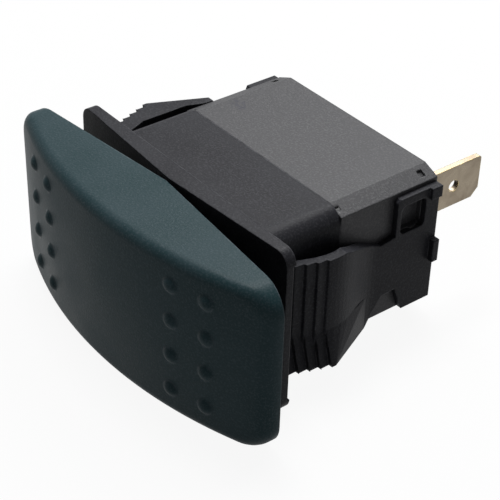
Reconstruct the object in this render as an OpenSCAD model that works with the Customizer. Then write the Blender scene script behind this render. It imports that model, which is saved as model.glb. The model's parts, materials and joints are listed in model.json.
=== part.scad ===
// Panel rocker switch: single pole, changeover with centre off.
//
// Frame, millimetres: X runs along the long side of the switch, Y runs from the
// rocker (-Y) to the terminals (+Y), Z runs across the short side. The origin is
// the middle of the flange's rear face, where the flange seats on its panel.

/* [Flange] */
// Length of the flange
flange_len = 44.2; // [43:0.1:46]
// Width of the flange
flange_w = 24.9; // [24.4:0.1:26]
// Thickness of the flange at its two ends
flange_end_t = 1.45; // [1.2:0.05:2]
// Thickness of the flange at the crown in the middle
flange_mid_t = 2.85; // [2.2:0.05:3]
// Corner radius of the flange, seen from the front
flange_corner_r = 2; // [1:0.1:3]

/* [Housing] */
// Length of the housing behind the panel
body_len = 33; // [32:0.1:34]
// Width of the housing behind the panel
body_w = 21; // [20.4:0.1:21]
// Depth of the bracket's box, from the seat to the seam
front_depth = 12; // [11:0.1:13]
// Depth of the whole housing, from the seat to the rear face
body_depth = 28.7; // [27.5:0.1:30]
// Wall thickness of both mouldings
wall = 1.5; // [1.2:0.1:1.8]
// Radius along the long edges of the bracket's box
edge_r = 2.4; // [1:0.1:3]
// Chamfer along the base's edges, measured along X
chamfer_x = 2.5; // [1:0.1:3]
// Chamfer along the base's edges, measured along Z
chamfer_z = 1.05; // [0.6:0.05:1.4]
// Thickness of the base's rear floor
floor_t = 1.8; // [1.5:0.1:2.2]

/* [Snap arms] */
// Thickness of a snap arm
arm_t = 1.4; // [1.2:0.1:1.6]
// How far an arm bows out from the housing
arm_bow = 2.35; // [1.5:0.05:2.6]
// Length of the bowed stretch, from the flange rearward
arm_span = 18; // [16:0.5:19]
// Reach of an arm on its plain side, measured across from the middle
arm_plain = 6.5; // [5:0.1:8]
// Reach of an arm on its toothed side, measured across from the middle
arm_toothed = 9.6; // [9:0.1:10]
// Number of retaining teeth on each arm
tooth_count = 5; // [3:1:6]
// Distance from one tooth to the next
tooth_pitch = 1.45; // [1.2:0.05:1.6]
// How much further out each tooth stands than the one before
tooth_rise = 0.5; // [0.3:0.05:0.6]
// Depth of the notch in front of each tooth
tooth_depth = 0.6; // [0.3:0.05:0.7]

/* [Rocker] */
// Length of the rocker
rocker_len = 54.8; // [53:0.1:56]
// Width of the rocker
rocker_w = 24.4; // [24:0.1:25]
// Height of the crown above the seat
rocker_crown = 14; // [13.5:0.1:15]
// Radius of the curved front face
rocker_front_r = 66; // [60:1:80]
// Radius of the rocker's corners, seen from the front
rocker_corner_r = 4; // [3:0.1:5]
// Rounding of the edges around the front face
rocker_edge_r = 1.6; // [1:0.1:2]
// Wall thickness of the rocker
rocker_wall = 1.5; // [1.2:0.1:1.8]
// Height of the skirt's edge above the seat in the middle
skirt_mid = 3.2; // [3:0.05:3.6]
// Height of the skirt's edge above the seat at the ends
skirt_end = 6; // [5.6:0.1:6.4]

/* [Grip dots] */
// Diameter of a raised dot
dot_d = 2.2; // [1.6:0.1:2.6]
// Height of a raised dot
dot_h = 0.55; // [0.3:0.05:0.8]
// Distance between neighbouring dots
dot_pitch = 5.35; // [4.8:0.05:5.6]
// Distance from the middle to the inner column of dots
dot_x = 13.7; // [12:0.1:15]
// Number of dots in each column
dot_rows = 4; // [2:1:4]

/* [Mechanism] */
// Tilt of the rocker to either side, in degrees
rocker_tilt = 9; // [7:0.5:9]
// Distance from the seat to the rocker's pivot
pivot_y = 3.2; // [3:0.1:3.6]
// Diameter of the pivot pin
pin_d = 2; // [1.8:0.1:2.4]
// Diameter of the plunger
plunger_d = 3; // [2.6:0.1:3.2]
// Distance from the seat to the knife edge that carries the contact blade
knife_y = 20.2; // [20:0.1:20.4]
// Distance from the middle to each pair of contacts
contact_x = 10; // [9.5:0.1:10.5]
// Diameter of a contact
contact_d = 3; // [2.4:0.1:3.4]
// Radial gap where one piece turns or slides in another
running_gap = 0.05; // [0.02:0.01:0.08]

/* [Terminals] */
// Width of a terminal blade
tab_w = 6.3; // [6.2:0.05:6.4]
// Thickness of a terminal blade
tab_t = 0.8; // [0.75:0.05:0.85]
// Length of a terminal blade behind the housing
tab_len = 10; // [8:0.1:10.5]
// Diameter of the hole in a terminal blade
tab_hole_d = 1.8; // [1.6:0.1:2]
// Distance from the middle to the outer face of the end terminals
tab_x = 14.9; // [14.5:0.1:15]
// Distance from the middle to the centreline of a terminal blade, across
tab_z = 5.2; // [5:0.1:5.5]

/* [Hidden] */

$fn = 48;
eps = 0.01;

half_len = body_len / 2;
half_w = body_w / 2;
floor_y = body_depth - floor_t;
tip_y = body_depth + tab_len;

// The flange's ends stand this much clear of the panel, behind the snap arms' roots
seat_relief = 0.35;
root_y0 = -seat_relief - eps;

// Opening in the bracket that the lever swings in
throat_len = 25;
throat_w = 16.4;

// Bosses in the bracket that carry the pivot pin
boss_d = 5;
boss_gap = 14.6;
pin_len = 17.2;

// Lever
hub_d = 5.2;
tube_d = 5.4;
tube_end_y = 14.4;
tube_floor_y = 5.2;
plug_len = 13;
plug_w = 9;
plug_front_y = -9;

// Plunger and spring
plunger_tip_y = knife_y - 1.66;
plunger_back_y = 11.2;
nose_d = 1.4;
nose_len = 1.6;
wire_d = 0.36;
spring_d = 2.3;
spring_turns = 7;

// Contact blade
blade_t = 0.8;
blade_w = 4.4;
blade_len = 23.4;
valley_y = knife_y - 1.6;
valley_rise = 0.3;
valley_len = 6;
knife_r = tab_t / 2;

// Contacts
rivet_d = 1.5;
moving_h = 0.7;
dome_r = 4;
closing_gap = 0.02;
dome_x = contact_x;
dome_y = valley_y - valley_rise + blade_t + moving_h - dome_r - knife_y;
closed_x = dome_x * cos(rocker_tilt) - dome_y * sin(rocker_tilt);
closed_y = dome_x * sin(rocker_tilt) + dome_y * cos(rocker_tilt);
fixed_y = knife_y + closed_y + closing_gap
          + sqrt(4 * dome_r * dome_r - pow(closed_x - dome_x, 2)) - dome_r;
fixed_h = 0.8;
strip_y = fixed_y + fixed_h;

// Sealing ring in the seam
gasket_t = 0.8;
gasket_w = 0.8;
gasket_inset = 0.4;

// ---------------------------------------------------------------- shared shapes

// Plate of height h along +Y whose outline is drawn in X and Z, from y0 on
module plate_y(y0, h) {
    translate([0, y0 + h, 0]) rotate([90, 0, 0]) linear_extrude(height = h) children();
}

// Bar along Z, centred, whose outline is drawn in X and Y
module bar_z(w) {
    translate([0, 0, -w / 2]) linear_extrude(height = w) children();
}

// Cylinder along +Y from y0 on
module rod_y(y0, h, d) {
    translate([0, y0, 0]) rotate([-90, 0, 0]) cylinder(h = h, d = d);
}

module rounded_rect(l, w, r) {
    difference() {
        square([l, w], center = true);
        for (sx = [-1, 1], sy = [-1, 1])
            translate([sx * l / 2, sy * w / 2]) difference() {
                square(2 * r, center = true);
                translate([-sx * r, -sy * r]) circle(r = r);
            }
    }
}

module chamfered_rect(l, w, cx, cw) {
    polygon([[-l / 2 + cx, -w / 2], [l / 2 - cx, -w / 2], [l / 2, -w / 2 + cw],
             [l / 2, w / 2 - cw], [l / 2 - cx, w / 2], [-l / 2 + cx, w / 2],
             [-l / 2, w / 2 - cw], [-l / 2, -w / 2 + cw]]);
}

// The housing's two ends are the same shape, turned half a turn about Y
module both_ends() {
    children();
    rotate([0, 180, 0]) children();
}

// ---------------------------------------------------------------------- bracket

// Side view of the flange: a low roof with a rounded ridge
module flange_profile() {
    ridge_r = 9;
    slope = (flange_mid_t - flange_end_t) / (flange_len / 2);
    lean = atan(slope);
    ridge_x = ridge_r * sin(lean);
    ridge_drop = ridge_r / cos(lean) - ridge_r;
    peak = flange_mid_t + ridge_drop;
    difference() {
        polygon([[-flange_len / 2, 0], [-flange_len / 2, -flange_end_t], [0, -peak],
                 [flange_len / 2, -flange_end_t], [flange_len / 2, 0]]);
        difference() {
            translate([-ridge_x, -peak - 1]) square([2 * ridge_x, peak]);
            translate([0, ridge_r - flange_mid_t]) circle(r = ridge_r, $fn = 96);
            translate([-ridge_x, -flange_mid_t + ridge_r * (1 - cos(lean))])
                square([2 * ridge_x, peak]);
        }
    }
}

module flange() {
    intersection() {
        bar_z(flange_w) flange_profile();
        difference() {
            plate_y(-5, 6) rounded_rect(flange_len, flange_w, flange_corner_r);
            for (s = [-1, 1]) translate([s * (half_len + 5), 0, 0])
                cube([10, 2 * seat_relief, 2 * half_w], center = true);
        }
    }
}

// Outer face of the bowed arm at a distance y behind the flange
function arm_face(y) =
    half_len + 0.9 + (y < arm_span ? arm_bow / 2 * (1 - cos(360 * y / arm_span)) : 0);

// Where the tooth numbered i starts, measured from the seat
function tooth_y(i) = 1.7 + i * tooth_pitch;

// Plan of one arm, seen across the switch: toothed and bowed at the front, straight behind
module arm_plan() {
    steps = 24;
    fine_depth = 0.35;
    last_y = tooth_y(tooth_count - 1);
    ridges = [for (i = [0:tooth_count - 1], p = [0, 1]) let(y = tooth_y(i) + 0.2 * p)
              [arm_face(y) - fine_depth * (1 - p), y]];
    outer = [for (i = [0:steps]) let(y = arm_span * i / steps) if (y > last_y + 0.5) [arm_face(y), y]];
    inner = [for (i = [steps:-1:0]) let(y = arm_span * i / steps)
             [max(arm_face(y) - arm_t, i < steps / 2 ? 0 : half_len), y]];
    polygon(concat([[arm_face(0), root_y0]], ridges, outer,
                   [[arm_face(arm_span), body_depth - 0.2], [half_len, body_depth - 0.2]],
                   inner, [[arm_face(0) - arm_t, root_y0]]));
}

// Side outline of one arm in Y and Z: a waist lets the bowed part flex
module arm_outline() {
    polygon([[-1, arm_plain], [10.5, arm_plain], [18.6, 2.9], [21.1, 3.3], [21.1, 8.4],
             [21.6, 8.9], [body_depth, 8.9], [body_depth, -9.4], [23.4, -9.4], [21.8, -5.4],
             [19.4, -5.6], [16.6, -arm_toothed], [-1, -arm_toothed]]);
}

// Wedge along the toothed edge: leans out from a crease in the arm to its lower edge
module tooth_wedge() {
    crease = 4.4;
    lean = 16.5;
    first_y = 1.4;
    peak_y = tooth_y(tooth_count - 1) + 0.7;
    peak_x = half_len + 4.75;
    tail_y = 16.6;
    start_x = peak_x - (tooth_count - 0.5) * tooth_rise;
    difference() {
        hull() {
            translate([0, 0, -crease]) linear_extrude(height = 0.02)
                polygon([for (y = [first_y:1.5:tail_y]) [arm_face(y) - 0.02, y]]);
            translate([0, 0, -arm_toothed]) linear_extrude(height = 0.02)
                polygon([[half_len + 1, first_y], [start_x, first_y], [peak_x, peak_y - 0.5],
                         [peak_x, peak_y + 0.3], [arm_face(tail_y), tail_y], [half_len + 1, tail_y]]);
        }
        // Each notch has a steep face towards the flange and a long easy one behind
        for (i = [0:tooth_count - 1]) {
            tip_x = peak_x - (tooth_count - 1 - i) * tooth_rise;
            translate([tip_x, tooth_y(i), -arm_toothed]) rotate([0, -lean, 0])
                translate([0, 0, -2]) linear_extrude(height = 8.5)
                    polygon([[-tooth_depth, 0.25], [2, 0.5], [2, 0.25 - tooth_pitch],
                             [-tooth_rise - 0.1, 0.35 - tooth_pitch]]);
        }
    }
}

module snap_arm() {
    window_r = 0.8;
    intersection() {
        union() {
            translate([0, 0, -arm_toothed]) linear_extrude(height = arm_toothed + 8.9) arm_plan();
            tooth_wedge();
        }
        difference() {
            translate([half_len - 1, 0, 0]) rotate([90, 0, 90]) linear_extrude(height = 8)
                arm_outline();
            // Window over the pocket in the base, and the slot that the latch ridge clicks into
            translate([half_len - 1.5, 24, 5.5]) rotate([0, 90, 0]) linear_extrude(height = 4)
                rounded_rect(4.4, 4.4, window_r);
            translate([half_len - 1, body_depth - 4.9, -4]) cube([1.45, 1.9, 8]);
        }
    }
    // Nub at the rear edge
    translate([half_len + 0.4, body_depth - 1.2, -2.9]) cube([1.4, 1, 3.4]);
    // Pry lug beside the window
    translate([half_len + 0.5, body_depth - 2, 7.2]) cube([0.9, 1.8, 1.7]);
}

// Blind boss for one end of the pivot pin
module pin_boss() {
    translate([0, pivot_y, boss_gap / 2]) cylinder(h = half_w - wall - boss_gap / 2 + eps, d = boss_d);
    translate([-1.2, pivot_y, boss_gap / 2])
        cube([2.4, 4.5, half_w - wall - boss_gap / 2 + eps]);
}

module bracket_box() {
    difference() {
        plate_y(-eps, front_depth + eps) rounded_rect(body_len, body_w, edge_r);
        plate_y(1.2, front_depth)
            rounded_rect(body_len - 2 * wall, body_w - 2 * wall, 1);
    }
}

module bracket() {
    color([0.16, 0.17, 0.19]) difference() {
        union() {
            flange();
            bracket_box();
            for (m = [0, 1]) mirror([0, 0, m]) pin_boss();
            both_ends() snap_arm();
        }
        plate_y(-6, 8) rounded_rect(throat_len, throat_w, 1.5);
        translate([0, pivot_y, 0]) cylinder(h = pin_len, d = pin_d, center = true);
    }
}

// ------------------------------------------------------------------------- base

// Slot for a terminal, open through the floor
module terminal_slot(x) {
    slack = 0.06;
    translate([x - slack, floor_y - 1, -tab_w / 2 - slack])
        cube([tab_t + 2 * slack, floor_t + 2, tab_w + 2 * slack]);
}

// Pedestal that backs a fixed contact's strip, with room for the rivet's tail
module contact_pedestal() {
    difference() {
        translate([contact_x - 2.6, strip_y + tab_t, -3])
            cube([5.2, floor_y - strip_y - tab_t + eps, 6]);
        translate([contact_x, 0, 0]) rod_y(strip_y + tab_t - 1, 1.6, 2.6);
    }
}

// Ridge on the base's end that clicks into the groove behind the snap arm
module latch_ridge() {
    translate([half_len - eps, 0, -3.8]) linear_extrude(height = 7.6)
        polygon([[0, body_depth - 4.8], [0.4, body_depth - 4.6], [0.4, body_depth - 4],
                 [0, body_depth - 3.2]]);
}

module base() {
    inner_len = body_len - 2 * wall;
    inner_w = body_w - 2 * wall;
    nick = 1.1;
    color([0.23, 0.235, 0.25]) difference() {
        union() {
            difference() {
                plate_y(front_depth, body_depth - front_depth)
                    chamfered_rect(body_len, body_w, chamfer_x, chamfer_z);
                plate_y(front_depth - 1, floor_y - front_depth + 1)
                    rounded_rect(inner_len, inner_w, 0.8);
            }
            both_ends() contact_pedestal();
            both_ends() latch_ridge();
            // Two posts guide the common terminal
            for (s = [-1, 1]) translate([s > 0 ? knife_r + 0.05 : -knife_r - 1.45, 23, -8.8])
                cube([1.4, floor_y - 23 + eps, 7.4]);
        }
        // Groove for the sealing ring
        plate_y(front_depth - eps, gasket_t + eps) difference() {
            rounded_rect(body_len - 2 * gasket_inset, body_w - 2 * gasket_inset, 1.4);
            rounded_rect(body_len - 2 * gasket_inset - 2 * gasket_w,
                         body_w - 2 * gasket_inset - 2 * gasket_w, 0.8);
        }
        both_ends() translate([tab_x - tab_t, 0, tab_z]) terminal_slot(0);
        translate([0, 0, -tab_z]) terminal_slot(-tab_t / 2);
        // Pockets behind the windows in the snap arms
        both_ends() translate([half_len - 0.8, 21.9, 3.4]) cube([2, 4.2, 4.2]);
        // Nicks across the rear ends of the chamfers
        for (sx = [-1, 1], sz = [-1, 1])
            translate([sx * (half_len - chamfer_x / 2), body_depth - 1.9, sz * (half_w - chamfer_z / 2)])
                rotate([0, sx * sz * atan(chamfer_z / chamfer_x), 0])
                    cube([nick, 0.9, 0.7], center = true);
    }
}

// Rubber ring that closes the seam between bracket and base
module housing_gasket() {
    slack = 0.03;
    color([0.08, 0.08, 0.08]) plate_y(front_depth, gasket_t - slack) difference() {
        rounded_rect(body_len - 2 * gasket_inset - 2 * slack,
                     body_w - 2 * gasket_inset - 2 * slack, 1.4);
        rounded_rect(body_len - 2 * gasket_inset - 2 * gasket_w + 2 * slack,
                     body_w - 2 * gasket_inset - 2 * gasket_w + 2 * slack, 0.8);
    }
}

// ------------------------------------------------------------------- rocker cap

// Height of the front face above the seat, at a distance x from the middle
function front_y(x, r = rocker_front_r) = r - rocker_crown - sqrt(r * r - x * x);

// Smooth outer skin: rounded corners and edges all round the curved face
module rocker_skin(inset) {
    e = max(rocker_edge_r - inset, 0.4);
    c = rocker_corner_r - inset;
    end_x = rocker_len / 2 - inset;
    side_z = rocker_w / 2 - inset;
    bays = 22;
    hull($fn = 32) {
        for (sx = [-1, 1], sz = [-1, 1]) translate([sx * (end_x - c), 0, sz * (side_z - c)]) {
            translate([0, front_y(end_x - c / 2) + inset + e + 0.5, 0]) rotate([90, 0, 0])
                rotate_extrude($fn = 32) translate([c - e, 0]) circle(r = e, $fn = 20);
            rod_y(1, 0.2, 2 * c);
        }
        for (i = [0:bays], sz = [-1, 1]) {
            x = (end_x - c) * (2 * i / bays - 1);
            translate([x, front_y(x) + inset + e, sz * (side_z - e)]) sphere(r = e, $fn = 20);
        }
    }
}

// Everything in front of the skirt's edge, which is a shallow V
module skirt_trim(extra) {
    far = rocker_len;
    drop = (skirt_end - skirt_mid) / (rocker_len / 2) * far;
    bar_z(2 * rocker_w) polygon([[-far, -30], [far, -30], [far, -skirt_mid - drop + extra],
                                 [0, -skirt_mid + extra], [-far, -skirt_mid - drop + extra]]);
}

// Raised dots at both ends, each the cap of a sphere square to the face
module grip_dots() {
    r = (dot_d * dot_d / 4 + dot_h * dot_h) / (2 * dot_h);
    for (sx = [-1, 1], i = [0, 1], j = [0:dot_rows - 1]) {
        x = sx * (dot_x + i * dot_pitch);
        lean = asin(x / rocker_front_r);
        translate([x, front_y(x), dot_pitch * (j - (dot_rows - 1) / 2)])
            rotate([0, 0, lean]) translate([0, r - dot_h, 0]) sphere(r = r, $fn = 24);
    }
}

// Socket under the roof that the lever's plug snaps into
module cap_socket() {
    slack = 0.04;
    difference() {
        translate([-plug_len / 2 - 1.3, -rocker_crown + rocker_wall, -plug_w / 2 - 1.3])
            cube([plug_len + 2.6, rocker_crown - rocker_wall - 5, plug_w + 2.6]);
        translate([-plug_len / 2 - slack, plug_front_y - slack, -plug_w / 2 - slack])
            cube([plug_len + 2 * slack, 20, plug_w + 2 * slack]);
        for (sx = [-1, 1]) translate([sx * (plug_len / 2 + 0.6), plug_front_y + 1.8, 0])
            cube([2, 1, 4.1], center = true);
    }
}

// Stiffening ribs across the hollow side of the cap
module cap_ribs() {
    for (x = [-20, -13, 13, 20]) translate([x - 0.5, front_y(x) + rocker_wall - 0.4, -rocker_w / 2 + 1])
        cube([1, 2.6, rocker_w - 2]);
}

module rocker_cap() {
    color([0.19, 0.21, 0.22]) {
        difference() {
            intersection() {
                rocker_skin(0);
                skirt_trim(0);
            }
            rocker_skin(rocker_wall);
        }
        cap_socket();
        cap_ribs();
        grip_dots();
    }
}

// ------------------------------------------------------------------ lever group

// Lever that joins the cap to the pivot and carries the plunger in its tube
module pivot_lever() {
    hub_len = boss_gap - 0.6;
    color([0.78, 0.78, 0.74]) difference() {
        union() {
            translate([0, pivot_y, 0]) cylinder(h = hub_len, d = hub_d, center = true);
            rod_y(pivot_y, tube_end_y - pivot_y, tube_d);
            translate([-plug_len / 2, plug_front_y, -plug_w / 2])
                cube([plug_len, -4 - plug_front_y, plug_w]);
            // Waisted neck between the plug and the hub
            bar_z(plug_w) polygon([[-plug_len / 2 + 1, -4.2], [plug_len / 2 - 1, -4.2],
                                   [hub_d / 2 - 0.1, pivot_y], [-hub_d / 2 + 0.1, pivot_y]]);
            // Snap noses that catch in the socket's windows
            for (sx = [-1, 1]) translate([sx * plug_len / 2, plug_front_y + 1.8, 0])
                bar_z(3.8) polygon([[0, -0.4], [sx * 0.35, -0.1], [sx * 0.35, 0.4], [0, 0.4]]);
        }
        translate([0, pivot_y, 0]) cylinder(h = 30, d = pin_d + 2 * running_gap, center = true);
        rod_y(tube_floor_y, 20, plunger_d + 2 * running_gap);
        // Lightening pockets in the plug
        for (sx = [-1, 1]) translate([sx * 3.6 - 1.8, plug_front_y - 1, -2.8])
            cube([3.6, 4.2, 5.6]);
    }
}

// Steel pin, pressed into the bracket's bosses
module pivot_pin() {
    color([0.72, 0.73, 0.75]) translate([0, pivot_y, 0])
        cylinder(h = pin_len, d = pin_d, center = true);
}

// Round-nosed plunger that rides in the contact blade's valley
module plunger() {
    r = plunger_d / 2;
    color([0.80, 0.66, 0.38]) {
        rod_y(plunger_back_y, plunger_tip_y - r - plunger_back_y, plunger_d);
        translate([0, plunger_tip_y - r, 0]) sphere(r = r);
        rod_y(plunger_back_y - nose_len, nose_len + eps, nose_d);
    }
}

// Compression spring: round wire swept along a helix with flat closed ends
module plunger_spring() {
    per_turn = 12;
    sides = 8;
    flat = 0.5;
    rings = spring_turns * per_turn;
    start = tube_floor_y + wire_d / 2 + 0.02;
    travel = plunger_back_y - tube_floor_y - wire_d - 0.04;
    function along(t) = start + travel * max(0, min(1, (t - flat) / (spring_turns - 2 * flat)));
    function point(i, k) = let(t = i / per_turn, a = 360 * t, b = 360 * k / sides,
                               r = spring_d / 2 + wire_d / 2 * cos(b))
        [r * cos(a), along(t) + wire_d / 2 * sin(b), r * sin(a)];
    points = [for (i = [0:rings], k = [0:sides - 1]) point(i, k)];
    faces = concat(
        [for (i = [0:rings - 1], k = [0:sides - 1]) let(n = (k + 1) % sides)
            [i * sides + k, i * sides + n, (i + 1) * sides + k]],
        [for (i = [0:rings - 1], k = [0:sides - 1]) let(n = (k + 1) % sides)
            [i * sides + n, (i + 1) * sides + n, (i + 1) * sides + k]],
        [[for (k = [sides - 1:-1:0]) k]],
        [[for (k = [0:sides - 1]) rings * sides + k]]);
    color([0.75, 0.76, 0.78]) polyhedron(points, faces);
}

// -------------------------------------------------------------------- contacts

// See-saw blade: shallow valley for the plunger, saddle for the knife edge
module contact_blade() {
    arm = valley_y - valley_rise;
    half = blade_len / 2;
    saddle_x = 1.25;
    color([0.78, 0.50, 0.30]) difference() {
        bar_z(blade_w) polygon([
            [0, valley_y], [valley_len / 2, arm], [half, arm], [half, arm + blade_t],
            [valley_len / 2 + 0.4, arm + blade_t], [saddle_x, valley_y + blade_t + 0.15],
            [saddle_x, knife_y + 0.05], [-saddle_x, knife_y + 0.05],
            [-saddle_x, valley_y + blade_t + 0.15], [-valley_len / 2 - 0.4, arm + blade_t],
            [-half, arm + blade_t], [-half, arm], [-valley_len / 2, arm]]);
        translate([0, knife_y, 0])
            cylinder(h = 10, r = knife_r + running_gap, center = true);
        for (sx = [-1, 1]) translate([sx * contact_x, 0, 0]) rod_y(arm - 1, 4, rivet_d);
    }
}

// Silver contact riveted to the blade, domed side rearward
module moving_contact() {
    back = valley_y - valley_rise + blade_t;
    color([0.86, 0.86, 0.86]) {
        intersection() {
            rod_y(back, moving_h, contact_d);
            translate([0, back + moving_h - dome_r, 0]) sphere(r = dome_r);
        }
        rod_y(back - blade_t - 0.3, blade_t + 0.3 + eps, rivet_d);
        rod_y(back - blade_t - 0.3, 0.3, rivet_d + 0.7);
    }
}

module moving_contact_near() {
    translate([contact_x, 0, 0]) moving_contact();
}

module moving_contact_far() {
    translate([-contact_x, 0, 0]) moving_contact();
}

// Silver contact riveted to a terminal's strip, domed side forward
module fixed_contact() {
    color([0.86, 0.86, 0.86]) {
        intersection() {
            rod_y(fixed_y, fixed_h, contact_d + 0.2);
            translate([0, fixed_y + dome_r, 0]) sphere(r = dome_r);
        }
        rod_y(strip_y - eps, tab_t + 0.35, rivet_d);
        rod_y(strip_y + tab_t, 0.35, rivet_d + 0.7);
    }
}

module fixed_contact_near() {
    translate([contact_x, 0, 0]) fixed_contact();
}

module fixed_contact_far() {
    translate([-contact_x, 0, 0]) fixed_contact();
}

// -------------------------------------------------------------------- terminals

// Blade outline in Y and Z: leading corners cut, locating hole
module tab_outline(y0) {
    cut = 1.2;
    difference() {
        polygon([[y0, -tab_w / 2], [tip_y - cut, -tab_w / 2], [tip_y, -tab_w / 2 + cut],
                 [tip_y, tab_w / 2 - cut / 4], [tip_y - cut / 4, tab_w / 2], [y0, tab_w / 2]]);
        translate([tip_y - 4.9, 0]) circle(d = tab_hole_d);
    }
}

// Blade standing at x, its face square to X
module tab_blade(x, y0) {
    translate([x, 0, 0]) rotate([90, 0, 90]) linear_extrude(height = tab_t) tab_outline(y0);
}

// Stamped and bent strip: contact end, crank across the housing, bend, blade
module end_terminal() {
    bend_r = 0.4;
    corner_x = tab_x - tab_t - bend_r;
    color([0.86, 0.72, 0.36]) difference() {
        union() {
            translate([contact_x - 2.4, strip_y, -2.4])
                cube([corner_x - contact_x + 2.4, tab_t, 4.8]);
            translate([contact_x + 1, strip_y, -2.4])
                cube([corner_x - contact_x - 1, tab_t, tab_z + tab_w / 2 + 2.4]);
            translate([corner_x, strip_y + tab_t + bend_r, tab_z - tab_w / 2])
                linear_extrude(height = tab_w) intersection() {
                    difference() {
                        circle(r = bend_r + tab_t);
                        circle(r = bend_r);
                    }
                    translate([0, -2]) square(2);
                }
            translate([0, 0, tab_z]) tab_blade(tab_x - tab_t, strip_y + tab_t + bend_r);
        }
        translate([contact_x, 0, 0]) rod_y(strip_y - 1, 3, rivet_d);
    }
}

module near_terminal() {
    end_terminal();
}

module far_terminal() {
    rotate([0, 180, 0]) end_terminal();
}

// Flat terminal whose inner edge is the knife edge under the contact blade
module common_terminal() {
    ear_y = knife_y - 1.2;
    ear_z = blade_w / 2 + 0.15;
    ear_t = 0.7;
    color([0.86, 0.72, 0.36]) {
        translate([0, 0, -tab_z]) tab_blade(-tab_t / 2, 24);
        translate([-tab_t / 2, knife_y, -tab_z - tab_w / 2])
            cube([tab_t, 4, tab_z + tab_w / 2 + ear_z + ear_t]);
        translate([0, knife_y, -ear_z]) cylinder(h = 2 * ear_z, r = knife_r);
        for (s = [-1, 1]) translate([-tab_t / 2, ear_y, s * (ear_z + ear_t / 2) - ear_t / 2])
            cube([tab_t, knife_y - ear_y + eps, ear_t]);
    }
}

// --------------------------------------------------------------------- assembly

bracket();
base();
housing_gasket();
rocker_cap();
pivot_lever();
pivot_pin();
plunger();
plunger_spring();
contact_blade();
moving_contact_near();
moving_contact_far();
common_terminal();
near_terminal();
far_terminal();
fixed_contact_near();
fixed_contact_far();
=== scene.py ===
"""Looks of the panel rocker switch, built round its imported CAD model.

Metres. X runs along the switch, Y from the rocker to the terminals, Z across it.
"""

import json
import logging
import math
from dataclasses import dataclass, field
from enum import Enum
from typing import Callable, Iterable, Optional, Sequence

import bmesh
import bpy
from mathutils import Matrix, Vector


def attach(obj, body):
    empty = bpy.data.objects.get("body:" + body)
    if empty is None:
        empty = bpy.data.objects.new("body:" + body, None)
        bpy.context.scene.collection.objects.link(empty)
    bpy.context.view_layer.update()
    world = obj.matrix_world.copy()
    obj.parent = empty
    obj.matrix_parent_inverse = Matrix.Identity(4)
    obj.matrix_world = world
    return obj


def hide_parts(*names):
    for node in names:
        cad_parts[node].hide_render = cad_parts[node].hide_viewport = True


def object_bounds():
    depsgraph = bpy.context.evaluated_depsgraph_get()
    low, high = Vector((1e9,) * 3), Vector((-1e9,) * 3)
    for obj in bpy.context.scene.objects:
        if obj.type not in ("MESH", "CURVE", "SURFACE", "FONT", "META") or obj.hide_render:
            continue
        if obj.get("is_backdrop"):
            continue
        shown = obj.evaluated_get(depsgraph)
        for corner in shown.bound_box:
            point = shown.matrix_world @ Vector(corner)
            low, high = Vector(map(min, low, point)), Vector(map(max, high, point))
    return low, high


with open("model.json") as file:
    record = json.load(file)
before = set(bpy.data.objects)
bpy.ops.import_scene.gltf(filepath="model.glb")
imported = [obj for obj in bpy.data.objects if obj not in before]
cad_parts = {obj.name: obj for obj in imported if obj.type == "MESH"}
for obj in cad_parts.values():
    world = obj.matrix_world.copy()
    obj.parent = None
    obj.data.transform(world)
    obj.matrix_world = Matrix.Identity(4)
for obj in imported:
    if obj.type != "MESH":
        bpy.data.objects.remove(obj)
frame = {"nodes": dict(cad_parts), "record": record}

LOG = logging.getLogger("rocker_switch")
MM = 0.001
Triple = tuple[float, float, float]


# ------------------------------------------------------------------ bench tools


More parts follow.
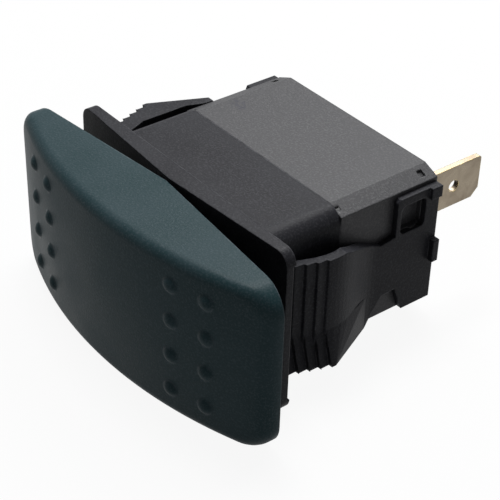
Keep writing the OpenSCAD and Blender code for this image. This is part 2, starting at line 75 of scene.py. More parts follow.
class Bench:
    """Small helpers round Blender's own modelling operators."""

    @staticmethod
    def clear_selection() -> None:
        """Leave edit mode and deselect every object."""
        if bpy.context.object and bpy.context.object.mode != "OBJECT":
            bpy.ops.object.mode_set(mode="OBJECT")
        bpy.ops.object.select_all(action="DESELECT")

    @staticmethod
    def focus(piece: bpy.types.Object) -> None:
        """Select one piece and make it active."""
        Bench.clear_selection()
        piece.select_set(True)
        bpy.context.view_layer.objects.active = piece

    @staticmethod
    def block(name: str, low: Sequence[float], high: Sequence[float]) -> bpy.types.Object:
        """Add a block between two corners.

        Args:
            name: name of the new piece.
            low: lowest corner, metres.
            high: highest corner, metres.

        Returns:
            The new object, with its place in its mesh.
        """
        Bench.clear_selection()
        centre = [(a + b) / 2 for a, b in zip(low, high)]
        bpy.ops.mesh.primitive_cube_add(size=1, location=centre)
        piece = bpy.context.object
        piece.name = piece.data.name = name
        piece.scale = [b - a for a, b in zip(low, high)]
        bpy.ops.object.transform_apply(location=True, rotation=True, scale=True)
        return piece

    @staticmethod
    def select_edges(piece: bpy.types.Object,
                     wanted: Callable[[bmesh.types.BMEdge], bool]) -> int:
        """Select the edges that a test picks, in edit mode.

        Args:
            piece: the active object, in edit mode.
            wanted: test for one edge.

        Returns:
            How many edges are selected.
        """
        bpy.ops.mesh.select_mode(type="EDGE")
        bpy.ops.mesh.select_all(action="DESELECT")
        mesh = bmesh.from_edit_mesh(piece.data)
        chosen = [edge for edge in mesh.edges if wanted(edge)]
        for edge in chosen:
            edge.select = True
        mesh.select_flush_mode()
        bmesh.update_edit_mesh(piece.data)
        return len(chosen)

    @staticmethod
    def soften(piece: bpy.types.Object, width: float, segments: int = 2) -> None:
        """Round a piece's sharp edges with an applied bevel modifier."""
        Bench.focus(piece)
        bevel = piece.modifiers.new("soft_edges", "BEVEL")
        bevel.width = width
        bevel.segments = segments
        bevel.limit_method = "ANGLE"
        bevel.angle_limit = math.radians(40)
        bpy.ops.object.modifier_apply(modifier=bevel.name)

    @staticmethod
    def join(pieces: Sequence[bpy.types.Object], name: str) -> bpy.types.Object:
        """Join pieces into the first one.

        Args:
            pieces: the pieces, at least one.
            name: name of the joined piece.

        Returns:
            The joined object.
        """
        Bench.clear_selection()
        for piece in pieces:
            piece.select_set(True)
        bpy.context.view_layer.objects.active = pieces[0]
        if len(pieces) > 1:
            bpy.ops.object.join()
        pieces[0].name = pieces[0].data.name = name
        return pieces[0]

    @staticmethod
    def finish(piece: bpy.types.Object, smooth_angle: float = 35.0) -> None:
        """Put a piece's place in its mesh, point its faces out and smooth it."""
        Bench.focus(piece)
        bpy.ops.object.transform_apply(location=True, rotation=True, scale=True)
        bpy.ops.object.mode_set(mode="EDIT")
        bpy.ops.mesh.select_all(action="SELECT")
        bpy.ops.mesh.normals_make_consistent(inside=False)
        bpy.ops.object.mode_set(mode="OBJECT")
        bpy.ops.object.shade_smooth_by_angle(angle=math.radians(smooth_angle))


# ------------------------------------------------------------ shader node groups


class Socket(Enum):
    """Kinds of socket a shader group offers."""

    VALUE = "NodeSocketFloat"
    COLOUR = "NodeSocketColor"
    VECTOR = "NodeSocketVector"


class ShaderGroup:
    """A node group under construction, with named inputs and outputs."""

    def __init__(self, name: str, inputs: Sequence[tuple[str, Socket, float]],
                 outputs: Sequence[tuple[str, Socket]]) -> None:
        """Make an empty group.

        Args:
            name: name of the group.
            inputs: name, kind and default value of each input.
            outputs: name and kind of each output.
        """
        self.tree = bpy.data.node_groups.new(name, "ShaderNodeTree")
        for label, kind, default in inputs:
            socket = self.tree.interface.new_socket(
                name=label, in_out="INPUT", socket_type=kind.value)
            if kind is Socket.VALUE:
                socket.default_value = default
        for label, kind in outputs:
            self.tree.interface.new_socket(
                name=label, in_out="OUTPUT", socket_type=kind.value)
        self.start = self.tree.nodes.new("NodeGroupInput")
        self.end = self.tree.nodes.new("NodeGroupOutput")

    def add(self, kind: str, **settings: object) -> bpy.types.Node:
        """Add a node and set its properties."""
        node = self.tree.nodes.new(kind)
        for key, value in settings.items():
            setattr(node, key, value)
        return node

    def wire(self, source: bpy.types.NodeSocket, target: bpy.types.NodeSocket) -> None:
        """Link an output to an input."""
        self.tree.links.new(source, target)

    def maths(self, operation: str, first: object, second: object = 0.0,
              clamp: bool = False) -> bpy.types.NodeSocket:
        """Add a Math node.

        Args:
            operation: the node's operation.
            first: a socket or a number.
            second: a socket or a number.
            clamp: whether the result is kept from 0 to 1.

        Returns:
            The node's output socket.
        """
        node = self.add("ShaderNodeMath", operation=operation, use_clamp=clamp)
        for place, value in enumerate((first, second)):
            if isinstance(value, bpy.types.NodeSocket):
                self.wire(value, node.inputs[place])
            else:
                node.inputs[place].default_value = value
        return node.outputs[0]


def build_mould_grain() -> bpy.types.NodeTree:
    """Spark-eroded mould texture: pitted height and a slow change of tone.

    Returns:
        Group with Height, Speckle and Tone outputs.
    """
    group = ShaderGroup(
        "Mould grain",
        [("Grain Scale", Socket.VALUE, 4000.0), ("Tone Scale", Socket.VALUE, 120.0)],
        [("Height", Socket.VALUE), ("Speckle", Socket.VALUE), ("Tone", Socket.VALUE)])
    place = group.add("ShaderNodeTexCoord")
    pits = group.add("ShaderNodeTexVoronoi", feature="F1")
    group.wire(place.outputs["Object"], pits.inputs["Vector"])
    group.wire(group.start.outputs["Grain Scale"], pits.inputs["Scale"])
    fine = group.add("ShaderNodeTexNoise")
    fine.inputs["Detail"].default_value = 3
    fine.inputs["Roughness"].default_value = 0.65
    group.wire(place.outputs["Object"], fine.inputs["Vector"])
    group.wire(group.start.outputs["Grain Scale"], fine.inputs["Scale"])
    slow = group.add("ShaderNodeTexNoise")
    slow.inputs["Detail"].default_value = 4
    group.wire(place.outputs["Object"], slow.inputs["Vector"])
    group.wire(group.start.outputs["Tone Scale"], slow.inputs["Scale"])
    height = group.maths("ADD", group.maths("MULTIPLY", pits.outputs["Distance"], 0.5),
                         group.maths("MULTIPLY", fine.outputs["Fac"], 0.8))
    speck = group.add("ShaderNodeMapRange")
    speck.inputs["From Min"].default_value = 0.50
    speck.inputs["From Max"].default_value = 0.62
    group.wire(fine.outputs["Fac"], speck.inputs["Value"])
    tone = group.add("ShaderNodeMapRange")
    tone.inputs["From Min"].default_value = 0.30
    tone.inputs["From Max"].default_value = 0.70
    group.wire(slow.outputs["Fac"], tone.inputs["Value"])
    group.wire(height, group.end.inputs["Height"])
    group.wire(speck.outputs["Result"], group.end.inputs["Speckle"])
    group.wire(tone.outputs["Result"], group.end.inputs["Tone"])
    return group.tree


def build_edge_wear_and_highlight() -> bpy.types.NodeTree:
    """Mask of the edges, found by comparing a rounded normal with the true one; the finishes
    colour it as rubbed wear and as a painted highlight.

    Returns:
        Group with Mask and Round Normal outputs.
    """
    group = ShaderGroup(
        "Edge wear",
        [("Radius", Socket.VALUE, 0.3 * MM), ("Reach", Socket.VALUE, 4.0),
         ("Break Up", Socket.VALUE, 700.0)],
        [("Mask", Socket.VALUE), ("Round Normal", Socket.VECTOR)])
    rounded = group.add("ShaderNodeBevel", samples=6)
    group.wire(group.start.outputs["Radius"], rounded.inputs["Radius"])
    surface = group.add("ShaderNodeNewGeometry")
    dot = group.add("ShaderNodeVectorMath", operation="DOT_PRODUCT")
    group.wire(rounded.outputs["Normal"], dot.inputs[0])
    group.wire(surface.outputs["Normal"], dot.inputs[1])
    bend = group.maths("SUBTRACT", 1.0, dot.outputs["Value"], clamp=True)
    strong = group.maths("MULTIPLY", bend, group.start.outputs["Reach"], clamp=True)
    place = group.add("ShaderNodeTexCoord")
    broken = group.add("ShaderNodeTexNoise")
    broken.inputs["Detail"].default_value = 5
    group.wire(place.outputs["Object"], broken.inputs["Vector"])
    group.wire(group.start.outputs["Break Up"], broken.inputs["Scale"])
    patchy = group.add("ShaderNodeMapRange")
    patchy.inputs["From Min"].default_value = 0.38
    patchy.inputs["From Max"].default_value = 0.62
    group.wire(broken.outputs["Fac"], patchy.inputs["Value"])
    mask = group.maths("MULTIPLY", strong, patchy.outputs["Result"], clamp=True)
    group.wire(mask, group.end.inputs["Mask"])
    group.wire(rounded.outputs["Normal"], group.end.inputs["Round Normal"])
    return group.tree


def build_strip_metal() -> bpy.types.NodeTree:
    """Rolled strip: fine lines along the rolling direction and patches of tarnish.

    Returns:
        Group with Lines and Tarnish outputs.
    """
    group = ShaderGroup(
        "Strip metal",
        [("Line Scale", Socket.VALUE, 900.0), ("Tarnish Scale", Socket.VALUE, 260.0)],
        [("Lines", Socket.VALUE), ("Tarnish", Socket.VALUE)])
    place = group.add("ShaderNodeTexCoord")
    stretch = group.add("ShaderNodeMapping")
    stretch.inputs["Scale"].default_value = (1.0, 0.06, 1.0)
    group.wire(place.outputs["Object"], stretch.inputs["Vector"])
    lines = group.add("ShaderNodeTexNoise")
    lines.inputs["Detail"].default_value = 4
    group.wire(stretch.outputs["Vector"], lines.inputs["Vector"])
    group.wire(group.start.outputs["Line Scale"], lines.inputs["Scale"])
    cloud = group.add("ShaderNodeTexNoise")
    cloud.inputs["Detail"].default_value = 6
    cloud.inputs["Distortion"].default_value = 0.6
    group.wire(place.outputs["Object"], cloud.inputs["Vector"])
    group.wire(group.start.outputs["Tarnish Scale"], cloud.inputs["Scale"])
    ramp = group.add("ShaderNodeMapRange")
    ramp.inputs["From Min"].default_value = 0.42
    ramp.inputs["From Max"].default_value = 0.68
    group.wire(cloud.outputs["Fac"], ramp.inputs["Value"])
    group.wire(lines.outputs["Fac"], group.end.inputs["Lines"])
    group.wire(ramp.outputs["Result"], group.end.inputs["Tarnish"])
    return group.tree


class Shared:
    """The shader groups that several finishes use, built once."""

    def __init__(self) -> None:
        """Build every shared group."""
        self.grain = build_mould_grain()
        self.wear_and_highlight = build_edge_wear_and_highlight()
        self.strip = build_strip_metal()


# --------------------------------------------------------------------- finishes


class MaterialBench:
    """A material being wired up round one Principled shader."""

    def __init__(self, name: str) -> None:
        """Make a material that holds a Principled shader and its output."""
        self.material = bpy.data.materials.new(name)
        self.material.use_nodes = True
        self.tree = self.material.node_tree
        self.shader = self.tree.nodes["Principled BSDF"]

    def group(self, tree: bpy.types.NodeTree, **values: float) -> bpy.types.Node:
        """Place a shared group with its own values, written with underscores."""
        node = self.tree.nodes.new("ShaderNodeGroup")
        node.node_tree = tree
        for key, value in values.items():
            node.inputs[key.replace("_", " ")].default_value = value
        return node

    def mix(self, mask: bpy.types.NodeSocket, low: object,
            high: object) -> bpy.types.NodeSocket:
        """Mix two colours by a mask.

        Args:
            mask: factor socket.
            low: colour or socket where the mask is 0.
            high: colour or socket where the mask is 1.

        Returns:
            The mixed colour's socket.
        """
        node = self.tree.nodes.new("ShaderNodeMix")
        node.data_type = "RGBA"
        self.tree.links.new(mask, node.inputs["Factor"])
        for label, value in (("A", low), ("B", high)):
            socket = next(s for s in node.inputs if s.name == label and s.type == "RGBA")
            if isinstance(value, bpy.types.NodeSocket):
                self.tree.links.new(value, socket)
            else:
                socket.default_value = (*value, 1.0)
        return next(s for s in node.outputs if s.type == "RGBA")

    def span(self, mask: bpy.types.NodeSocket, low: float,
             high: float) -> bpy.types.NodeSocket:
        """Spread a mask over a range of values, and return the result's socket."""
        node = self.tree.nodes.new("ShaderNodeMapRange")
        node.inputs["To Min"].default_value = low
        node.inputs["To Max"].default_value = high
        self.tree.links.new(mask, node.inputs["Value"])
        return node.outputs["Result"]

    def scale(self, mask: bpy.types.NodeSocket, amount: float) -> bpy.types.NodeSocket:
        """Multiply a mask by a number, and return the result's socket."""
        node = self.tree.nodes.new("ShaderNodeMath")
        node.operation = "MULTIPLY"
        node.inputs[1].default_value = amount
        self.tree.links.new(mask, node.inputs[0])
        return node.outputs[0]

    def bump(self, height: bpy.types.NodeSocket, strength: float, distance: float,
             normal: Optional[bpy.types.NodeSocket] = None) -> None:
        """Feed the shader's Normal from a height, on top of a rounded normal."""
        node = self.tree.nodes.new("ShaderNodeBump")
        node.inputs["Strength"].default_value = strength
        node.inputs["Distance"].default_value = distance
        self.tree.links.new(height, node.inputs["Height"])
        if normal is not None:
            self.tree.links.new(normal, node.inputs["Normal"])
        self.tree.links.new(node.outputs["Normal"], self.shader.inputs["Normal"])

    def feed(self, label: str, source: bpy.types.NodeSocket) -> None:
        """Link a socket to one of the shader's inputs."""
        self.tree.links.new(source, self.shader.inputs[label])


@dataclass(frozen=True)
class ScuffMark:
    """A rubbed patch on a moulded face."""

    centre: Triple
    half_size: Triple
    colour: Triple


@dataclass(frozen=True)
class MouldedPlastic:
    """Moulded nylon with a spark-eroded grain, and paler edges that are partly rubbed wear and
    partly a painted highlight.
    """

    name: str
    colour: Triple
    pale: Triple
    # Edge colour: partly rubbed wear, partly a painted highlight along the edges.
    worn_and_highlit: Triple
    roughness: float = 0.55
    grain_scale: float = 3600.0
    grain_depth: float = 0.35
    speckle: float = 0.5
    edge_radius: float = 0.28 * MM
    wear_and_highlight: float = 0.5
    sheen: float = 0.5
    scuff: Optional[ScuffMark] = None

    def make(self, shared: Shared) -> bpy.types.Material:
        """Wire up the finish.

        Args:
            shared: the shared shader groups.

        Returns:
            The material.
        """
        bench = MaterialBench(self.name)
        grain = bench.group(shared.grain, Grain_Scale=self.grain_scale, Tone_Scale=110.0)
        edges = bench.group(shared.wear_and_highlight, Radius=self.edge_radius, Reach=3.5, Break_Up=900.0)
        speckle = bench.scale(grain.outputs["Speckle"], self.speckle)
        colour = bench.mix(speckle, self.colour, self.pale)
        toned = bench.mix(bench.scale(grain.outputs["Tone"], 0.25), colour, self.pale)
        # Paler colour on the edges: partly rubbed wear, partly a painted highlight.
        worn_and_highlit = bench.mix(bench.scale(edges.outputs["Mask"], self.wear_and_highlight), toned, self.worn_and_highlit)
        if self.scuff is not None:
            worn_and_highlit = self._add_scuff(bench, worn_and_highlit)
        bench.feed("Base Color", worn_and_highlit)
        bench.feed("Roughness", bench.span(grain.outputs["Tone"], self.roughness - 0.05,
                                           self.roughness + 0.07))
        bench.bump(grain.outputs["Height"], self.grain_depth, 0.06 * MM,
                   edges.outputs["Round Normal"])
        bench.shader.inputs["IOR"].default_value = 1.50
        bench.shader.inputs["Specular IOR Level"].default_value = self.sheen
        return bench.material

    def _add_scuff(self, bench: MaterialBench,
                   colour: bpy.types.NodeSocket) -> bpy.types.NodeSocket:
        """Lay the scuff over a colour: short broken strokes inside an oval.

        Args:
            bench: the material being wired.
            colour: the colour under the scuff.

        Returns:
            The colour with the scuff on it.
        """
        nodes, links = bench.tree.nodes, bench.tree.links
        place = nodes.new("ShaderNodeTexCoord")
        fit = nodes.new("ShaderNodeMapping")
        fit.inputs["Location"].default_value = [
            -c / h for c, h in zip(self.scuff.centre, self.scuff.half_size)]
        fit.inputs["Scale"].default_value = [1 / h for h in self.scuff.half_size]
        links.new(place.outputs["Object"], fit.inputs["Vector"])
        length = nodes.new("ShaderNodeVectorMath")
        length.operation = "LENGTH"
        links.new(fit.outputs["Vector"], length.inputs[0])
        inside = nodes.new("ShaderNodeMapRange")
        inside.inputs["From Min"].default_value = 1.0
        inside.inputs["From Max"].default_value = 0.55
        links.new(length.outputs["Value"], inside.inputs["Value"])
        strokes = nodes.new("ShaderNodeTexNoise")
        strokes.inputs["Scale"].default_value = 2.6
        strokes.inputs["Detail"].default_value = 5
        links.new(fit.outputs["Vector"], strokes.inputs["Vector"])
        sharp = nodes.new("ShaderNodeMapRange")
        sharp.inputs["From Min"].default_value = 0.46
        sharp.inputs["From Max"].default_value = 0.56
        links.new(strokes.outputs["Fac"], sharp.inputs["Value"])
        both = nodes.new("ShaderNodeMath")
        both.operation = "MULTIPLY"
        links.new(inside.outputs["Result"], both.inputs[0])
        links.new(sharp.outputs["Result"], both.inputs[1])
        return bench.mix(both.outputs[0], colour, self.scuff.colour)


@dataclass(frozen=True)
class StripMetal:
    """Rolled or turned metal with lines, tarnish, and bright edges that are partly rubbed
    metal and partly a painted highlight.
    """

    name: str
    colour: Triple
    tarnish: Triple
    bright: Triple
    roughness: float = 0.32
    line_scale: float = 900.0
    tarnish_amount: float = 0.5
    edge_radius: float = 0.12 * MM

    def make(self, shared: Shared) -> bpy.types.Material:
        """Wire up the finish.

        Args:
            shared: the shared shader groups.

        Returns:
            The material.
        """
        bench = MaterialBench(self.name)
        strip = bench.group(shared.strip, Line_Scale=self.line_scale, Tarnish_Scale=300.0)
        edges = bench.group(shared.wear_and_highlight, Radius=self.edge_radius, Reach=5.0, Break_Up=1500.0)
        base = bench.mix(bench.scale(strip.outputs["Tarnish"], self.tarnish_amount),
                         self.colour, self.tarnish)
        # Bright colour on the edges: partly rubbed metal, partly a painted highlight.
        bench.feed("Base Color", bench.mix(edges.outputs["Mask"], base, self.bright))
        bench.feed("Roughness", bench.span(strip.outputs["Tarnish"], self.roughness - 0.08,
                                           self.roughness + 0.16))
        bench.shader.inputs["Metallic"].default_value = 1.0
        bench.bump(strip.outputs["Lines"], 0.18, 0.02 * MM, edges.outputs["Round Normal"])
        return bench.material


@dataclass(frozen=True)
class SealRubber:
    """Soft black rubber with a matt bloom."""

    name: str = "seal_rubber"
    colour: Triple = (0.018, 0.018, 0.019)
    bloom: Triple = (0.045, 0.045, 0.046)

    def make(self, shared: Shared) -> bpy.types.Material:
        """Wire up the finish.

        Args:
            shared: the shared shader groups.

        Returns:
            The material.
        """
        bench = MaterialBench(self.name)
        grain = bench.group(shared.grain, Grain_Scale=2500.0, Tone_Scale=300.0)
        bench.feed("Base Color", bench.mix(grain.outputs["Tone"], self.colour, self.bloom))
        bench.feed("Roughness", bench.span(grain.outputs["Tone"], 0.7, 0.85))
        bench.bump(grain.outputs["Height"], 0.2, 0.03 * MM)
        return bench.material


def finishes() -> dict[str, object]:
    """List the finishes of this switch.

    Returns:
        The record's material slot to the finish that dresses it.
    """
    scuff = ScuffMark(centre=(-0.0124, 0.0179, 0.0105), half_size=(0.0022, 0.0016, 0.004),
                      colour=(0.012, 0.012, 0.018))
    return {
        # The plastics' edge colours paint both rubbed wear and a highlight along the edges.
        "rocker_plastic": MouldedPlastic(
            "rocker_plastic", (0.007, 0.020, 0.023), (0.036, 0.050, 0.058),
            (0.14, 0.15, 0.17), roughness=0.44, speckle=0.40, wear_and_highlight=0.40, sheen=0.06,
            edge_radius=0.35 * MM),
        "bracket_plastic": MouldedPlastic(
            "bracket_plastic", (0.008, 0.008, 0.010), (0.036, 0.037, 0.041),
            (0.11, 0.115, 0.125), roughness=0.42, speckle=0.45, wear_and_highlight=0.45, sheen=0.05),
        "base_plastic": MouldedPlastic(
            "base_plastic", (0.016, 0.016, 0.018), (0.056, 0.056, 0.059),
            (0.14, 0.145, 0.15), roughness=0.48, speckle=0.5, wear_and_highlight=0.5, sheen=0.16,
            scuff=scuff),
        "lever_plastic": MouldedPlastic(
            "lever_plastic", (0.62, 0.60, 0.53), (0.70, 0.68, 0.62),
            (0.75, 0.74, 0.70), roughness=0.40, grain_depth=0.12, speckle=0.15, wear_and_highlight=0.3),
        "seal_rubber": SealRubber(),
        "steel": StripMetal("steel", (0.56, 0.57, 0.58), (0.42, 0.42, 0.43),
                            (0.75, 0.75, 0.76), roughness=0.28),
        "plunger_brass": StripMetal("plunger_brass", (0.76, 0.58, 0.28),
                                    (0.50, 0.36, 0.18), (0.88, 0.74, 0.45)),
        "blade_copper": StripMetal("blade_copper", (0.78, 0.44, 0.28),
                                   (0.50, 0.26, 0.16), (0.90, 0.62, 0.46)),
        "contact_silver": StripMetal("contact_silver", (0.78, 0.78, 0.76),
                                     (0.50, 0.48, 0.44), (0.90, 0.90, 0.88)),
        # The terminal's bright yellow edge colour is mostly a painted highlight along its top
        # edge.
        "terminal_brass": StripMetal("terminal_brass", (0.28, 0.235, 0.175),
                                     (0.15, 0.115, 0.08), (0.92, 0.72, 0.18),
                                     roughness=0.34),
    }


# ----------------------------------------------------------------- sub-assemblies


@dataclass
class RockerShell:
    """The rocker's moulded cap: arched front, soft rim, hollow back, raised dots."""

    length: float = 54.8 * MM
    width: float = 24.4 * MM
    crown: float = 13.98 * MM
    front_radius: float = 66 * MM
    corner_radius: float = 4 * MM
    rim_radius: float = 1.6 * MM
    wall: float = 1.5 * MM
    skirt_mid: float = 3.2 * MM
    skirt_end: float = 6.0 * MM
    dot_diameter: float = 2.2 * MM
    dot_height: float = 0.55 * MM
    dot_pitch: float = 5.35 * MM
    dot_x: float = 13.7 * MM
    dot_rows: int = 4
    dot_root: float = 0.25 * MM
    rib_places: tuple[float, ...] = (-20 * MM, -13 * MM, 13 * MM, 20 * MM)
    rib_width: float = 1 * MM
    rib_depth: float = 2.6 * MM
    rib_inset: float = 1 * MM
    rib_sink: float = 0.4 * MM
    plug_half_length: float = 6.5 * MM
    plug_half_width: float = 4.5 * MM
    plug_slack: float = 0.04 * MM
    socket_wall: float = 1.26 * MM
    socket_back: float = -5 * MM
    inner_edge: float = 0.15 * MM
    columns: int = 72
    snap: float = 1e-4 * MM
    parts: list[bpy.types.Object] = field(default_factory=list)

    def drop(self, x: float) -> float:
        """Return how far the arch has fallen back at a distance from the middle."""
        return self.front_radius - math.sqrt(self.front_radius ** 2 - x * x)

    def build(self, material: bpy.types.Material) -> bpy.types.Object:
        """Build the whole cap and put it in place of its CAD node.

        Args:
            material: the rocker's finish.

        Returns:
            The finished piece.
        """
        self.parts = [self._skin(), *self._ribs(), *self._socket(), *self._dots()]
        piece = Bench.join(self.parts, "rocker_shell")
        Bench.finish(piece, 30.0)
        piece.data.materials.clear()
        piece.data.materials.append(material)
        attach(piece, "rocker")
        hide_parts("rocker_cap")
        return piece

    def _skin(self) -> bpy.types.Object:
        """Shape the outer skin from a block, and hollow it.

        Returns:
            The hollow shell.
        """
        half = self.length / 2
        shell = Bench.block("rocker_skin", (-half, -self.crown, -self.width / 2),
                            (half, 0.001, self.width / 2))
        bpy.ops.object.mode_set(mode="EDIT")
        Bench.select_edges(shell, lambda e: abs((e.verts[0].co - e.verts[1].co).y) > 0.001)
        bpy.ops.mesh.bevel(offset=self.corner_radius, segments=12, affect="EDGES",
                           clamp_overlap=False)
        front = -self.crown + 1e-6
        Bench.select_edges(shell, lambda e: all(v.co.y < front for v in e.verts))
        bpy.ops.mesh.bevel(offset=self.rim_radius, segments=7, affect="EDGES",
                           clamp_overlap=False)
        for step in range(1, self.columns):
            bpy.ops.mesh.select_mode(type="VERT")
            bpy.ops.mesh.select_all(action="SELECT")
            place = -half + self.length * step / self.columns
            bpy.ops.mesh.bisect(plane_co=(place, 0, 0), plane_no=(1, 0, 0),
                                threshold=self.snap)
        self._arch(shell)
        slope = (self.skirt_end - self.skirt_mid) / half
        for side in (-1, 1):
            bpy.ops.mesh.select_all(action="SELECT")
            bpy.ops.mesh.bisect(plane_co=(0, -self.skirt_mid, 0),
                                plane_no=(side * slope, 1, 0), threshold=self.snap,
                                clear_outer=True, use_fill=False)
        bpy.ops.object.mode_set(mode="OBJECT")
        wall = shell.modifiers.new("wall", "SOLIDIFY")
        wall.thickness = self.wall
        wall.offset = -1
        wall.use_even_offset = True
        bpy.ops.object.modifier_apply(modifier=wall.name)
        return shell

    def _arch(self, shell: bpy.types.Object) -> None:
        """Push each column of vertices back until the front follows the arch."""
        columns: dict[float, set[int]] = {}
        for vertex in bmesh.from_edit_mesh(shell.data).verts:
            columns.setdefault(round(vertex.co.x, 6), set()).add(vertex.index)
        bpy.ops.mesh.select_mode(type="VERT")
        for place, members in columns.items():
            bpy.ops.mesh.select_all(action="DESELECT")
            mesh = bmesh.from_edit_mesh(shell.data)
            for vertex in mesh.verts:
                vertex.select = vertex.index in members
            mesh.select_flush_mode()
            bmesh.update_edit_mesh(shell.data)
            bpy.ops.transform.translate(value=(0, self.drop(place), 0))

    def _ribs(self) -> list[bpy.types.Object]:
        """Stiffening ribs across the hollow side.

        Returns:
            One piece per rib.
        """
        ribs = []
        side = self.width / 2 - self.rib_inset
        for place in self.rib_places:
            front = -self.crown + self.drop(place) + self.wall - self.rib_sink
            rib = Bench.block(f"rib_{place / MM:.0f}",
                              (place - self.rib_width / 2, front, -side),
                              (place + self.rib_width / 2, front + self.rib_depth, side))
            Bench.soften(rib, self.inner_edge)
            ribs.append(rib)
        return ribs

    def _socket(self) -> list[bpy.types.Object]:
        """Four walls of the socket that holds the lever's plug.

        Returns:
            One piece per wall.
        """
        reach = self.plug_half_length + self.plug_slack
        across = self.plug_half_width + self.plug_slack
        front, back = -self.crown + self.wall, self.socket_back
        outer = self.socket_wall
        walls = []
        for side in (-1, 1):
            near, far = sorted((side * reach, side * (reach + outer)))
            walls.append(Bench.block(f"socket_end_{side}", (near, front, -across - outer),
                                     (far, back, across + outer)))
            near, far = sorted((side * across, side * (across + outer)))
            walls.append(Bench.block(f"socket_side_{side}", (-reach, front, near),
                                     (reach, back, far)))
        for wall in walls:
            Bench.soften(wall, self.inner_edge)
        return walls

    def _dots(self) -> list[bpy.types.Object]:
        """Raised dots, each a low dome square to the arch.

        Returns:
            One piece per dot.
        """
        radius = (self.dot_diameter ** 2 / 4 + self.dot_height ** 2) / (2 * self.dot_height)
        Bench.clear_selection()
        bpy.ops.mesh.primitive_uv_sphere_add(segments=40, ring_count=48, radius=radius)
        pattern = bpy.context.object
        bpy.ops.object.mode_set(mode="EDIT")
        bpy.ops.mesh.select_all(action="SELECT")
        cut = radius - self.dot_height - self.dot_root
        bpy.ops.mesh.bisect(plane_co=(0, 0, cut), plane_no=(0, 0, 1), clear_inner=True,
                            use_fill=True, threshold=self.snap)
        bpy.ops.object.mode_set(mode="OBJECT")
        dots = []
        for side in (-1, 1):
            for column in range(2):
                x = side * (self.dot_x + column * self.dot_pitch)
                lean = math.asin(x / self.front_radius)
                for row in range(self.dot_rows):
                    dot = pattern.copy()
                    dot.data = pattern.data.copy()
                    bpy.context.scene.collection.objects.link(dot)
                    turn = Matrix.Rotation(lean, 4, "Z") @ Matrix.Rotation(math.pi / 2, 4, "X")
                    seat = Vector((x, -self.crown + self.drop(x),
                                   self.dot_pitch * (row - (self.dot_rows - 1) / 2)))
                    inward = turn @ Vector((0, 0, 1))
                    centre = seat - inward * (radius - self.dot_height)
                    dot.matrix_world = Matrix.Translation(centre) @ turn
                    dots.append(dot)
        bpy.data.objects.remove(pattern)
        return dots


@dataclass
class HousingDress:
    """Dresses the CAD nodes that keep their own shape."""

    finishes: dict[str, bpy.types.Material]

    def dress(self) -> int:
        """Give each CAD node the finish of its material slot.

        Returns:
            How many nodes were dressed.
        """
        slots = {s["node"]: s["material_slot"] for s in frame["record"]["subparts"]}
        for name, node in frame["nodes"].items():
            node.data.materials.clear()
            node.data.materials.append(self.finishes[slots[name]])
        return len(slots)


# ------------------------------------------------------------------------ studio


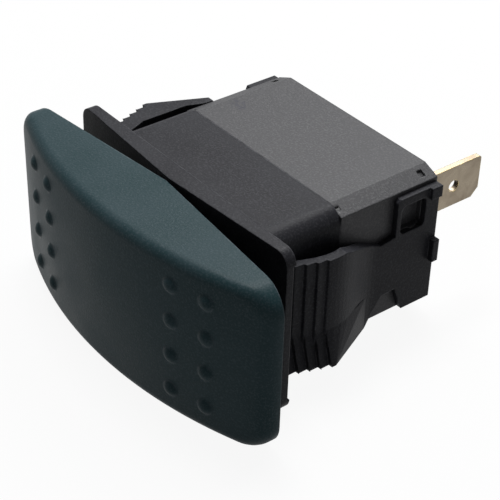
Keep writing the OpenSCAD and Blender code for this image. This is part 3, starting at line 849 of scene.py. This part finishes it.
@dataclass(frozen=True)
class Studio:
    """Pale floor, soft lights and the camera."""

    azimuth: float = 50.88
    elevation: float = 35.30
    roll: float = 1.79
    target: Triple = (0.54 * MM, 10.32 * MM, -3.88 * MM)
    distance: float = 207.59 * MM
    focal_px: float = 1516.35
    picture_px: float = 500.0

    def axes(self) -> tuple[Vector, Vector, Vector]:
        """Return the camera's right, up and backward directions."""
        a, e, r = (math.radians(v) for v in (self.azimuth, self.elevation, self.roll))
        back = Vector((math.sin(a) * math.cos(e), -math.cos(a) * math.cos(e), math.sin(e)))
        right = Vector((math.cos(a), math.sin(a), 0))
        up = back.cross(right)
        return (math.cos(r) * right + math.sin(r) * up,
                -math.sin(r) * right + math.cos(r) * up, back)

    def place_camera(self) -> None:
        """Add the camera and make it the scene's."""
        right, up, back = self.axes()
        camera = bpy.data.cameras.new("camera")
        camera.sensor_width = 36.0
        camera.lens = self.focal_px / self.picture_px * camera.sensor_width
        camera.clip_start = 0.005
        camera.clip_end = 20
        holder = bpy.data.objects.new("camera", camera)
        place = Vector(self.target) + back * self.distance
        turn = Matrix((right, up, back)).transposed().to_4x4()
        holder.matrix_world = Matrix.Translation(place) @ turn
        bpy.context.scene.collection.objects.link(holder)
        bpy.context.scene.camera = holder

    def lamp(self, name: str, place: Triple, size: float, power: float,
             aim: Triple = (0, 0.008, 0)) -> None:
        """Add one soft lamp.

        Args:
            name: name of the lamp.
            place: where it stands, metres.
            size: side of its square face, metres.
            power: watts.
            aim: the point it faces.
        """
        light = bpy.data.lights.new(name, "AREA")
        light.shape = "SQUARE"
        light.size = size
        light.energy = power
        holder = bpy.data.objects.new(name, light)
        direction = Vector(aim) - Vector(place)
        holder.matrix_world = (Matrix.Translation(Vector(place))
                               @ direction.to_track_quat("-Z", "Y").to_matrix().to_4x4())
        bpy.context.scene.collection.objects.link(holder)

    @staticmethod
    def background_rays(nodes: bpy.types.Nodes,
                        links: bpy.types.NodeLinks) -> bpy.types.NodeSocket:
        """Mask of the rays that should meet the white background.

        Args:
            nodes: the node tree's nodes.
            links: the node tree's links.

        Returns:
            A socket that is 1 for camera, mirrored and refracted rays.
        """
        rays = nodes.new("ShaderNodeLightPath")
        seen = rays.outputs["Is Camera Ray"]
        for kind in ("Is Glossy Ray", "Is Transmission Ray"):
            either = nodes.new("ShaderNodeMath")
            either.operation = "MAXIMUM"
            links.new(seen, either.inputs[0])
            links.new(rays.outputs[kind], either.inputs[1])
            seen = either.outputs[0]
        return seen

    def floor(self) -> None:
        """Lay a pale floor under the switch's lowest point."""
        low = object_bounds()[0]
        Bench.clear_selection()
        bpy.ops.mesh.primitive_plane_add(size=4, location=(0, 0, low[2] - 0.05 * MM))
        ground = bpy.context.object
        ground.name = "floor"
        material = bpy.data.materials.new("pale_floor")
        material.use_nodes = True
        nodes, links = material.node_tree.nodes, material.node_tree.links
        shader = nodes["Principled BSDF"]
        shader.inputs["Base Color"].default_value = (0.42, 0.42, 0.42, 1)
        shader.inputs["Roughness"].default_value = 0.9
        glow = nodes.new("ShaderNodeEmission")
        glow.inputs["Color"].default_value = (1, 1, 1, 1)
        blend = nodes.new("ShaderNodeMixShader")
        blend.inputs["Fac"].default_value = 0.92
        links.new(shader.outputs["BSDF"], blend.inputs[1])
        links.new(glow.outputs["Emission"], blend.inputs[2])
        choose = nodes.new("ShaderNodeMixShader")
        links.new(self.background_rays(nodes, links), choose.inputs["Fac"])
        links.new(shader.outputs["BSDF"], choose.inputs[1])
        links.new(blend.outputs["Shader"], choose.inputs[2])
        links.new(choose.outputs["Shader"], nodes["Material Output"].inputs["Surface"])
        ground.data.materials.append(material)
        ground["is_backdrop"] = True

    def sky(self) -> None:
        """Give the scene a plain white surround that lights it gently."""
        world = bpy.data.worlds.new("studio")
        world.use_nodes = True
        nodes, links = world.node_tree.nodes, world.node_tree.links
        soft = nodes["Background"]
        soft.inputs["Color"].default_value = (0.93, 0.96, 1, 1)
        soft.inputs["Strength"].default_value = 0.10
        white = nodes.new("ShaderNodeBackground")
        white.inputs["Color"].default_value = (1, 1, 1, 1)
        choose = nodes.new("ShaderNodeMixShader")
        links.new(self.background_rays(nodes, links), choose.inputs["Fac"])
        links.new(soft.outputs["Background"], choose.inputs[1])
        links.new(white.outputs["Background"], choose.inputs[2])
        links.new(choose.outputs["Shader"], nodes["World Output"].inputs["Surface"])
        bpy.context.scene.world = world

    def set_up(self) -> None:
        """Build the whole studio."""
        self.place_camera()
        self.lamp("back_sheen", (-0.16, 0.28, 0.42), 0.34, 3.4)
        self.lamp("key", (-0.14, 0.05, 0.50), 0.16, 3.2)
        self.floor()
        self.sky()
        bpy.context.scene.view_settings.view_transform = "Standard"


# -------------------------------------------------------------------------- main


def main() -> None:
    """Build the looks piece by piece, logging how many nodes were dressed and the shell's face
    count.
    """
    logging.basicConfig(level=logging.INFO, format="%(name)s: %(message)s")
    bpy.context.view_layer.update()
    shared = Shared()
    made = {slot: finish.make(shared) for slot, finish in finishes().items()}
    LOG.info("dressed %d nodes", HousingDress(made).dress())
    shell = RockerShell().build(made["rocker_plastic"])
    LOG.info("%s has %d faces", shell.name, len(shell.data.polygons))
    Studio().set_up()


if __name__ == "__main__":
    main()
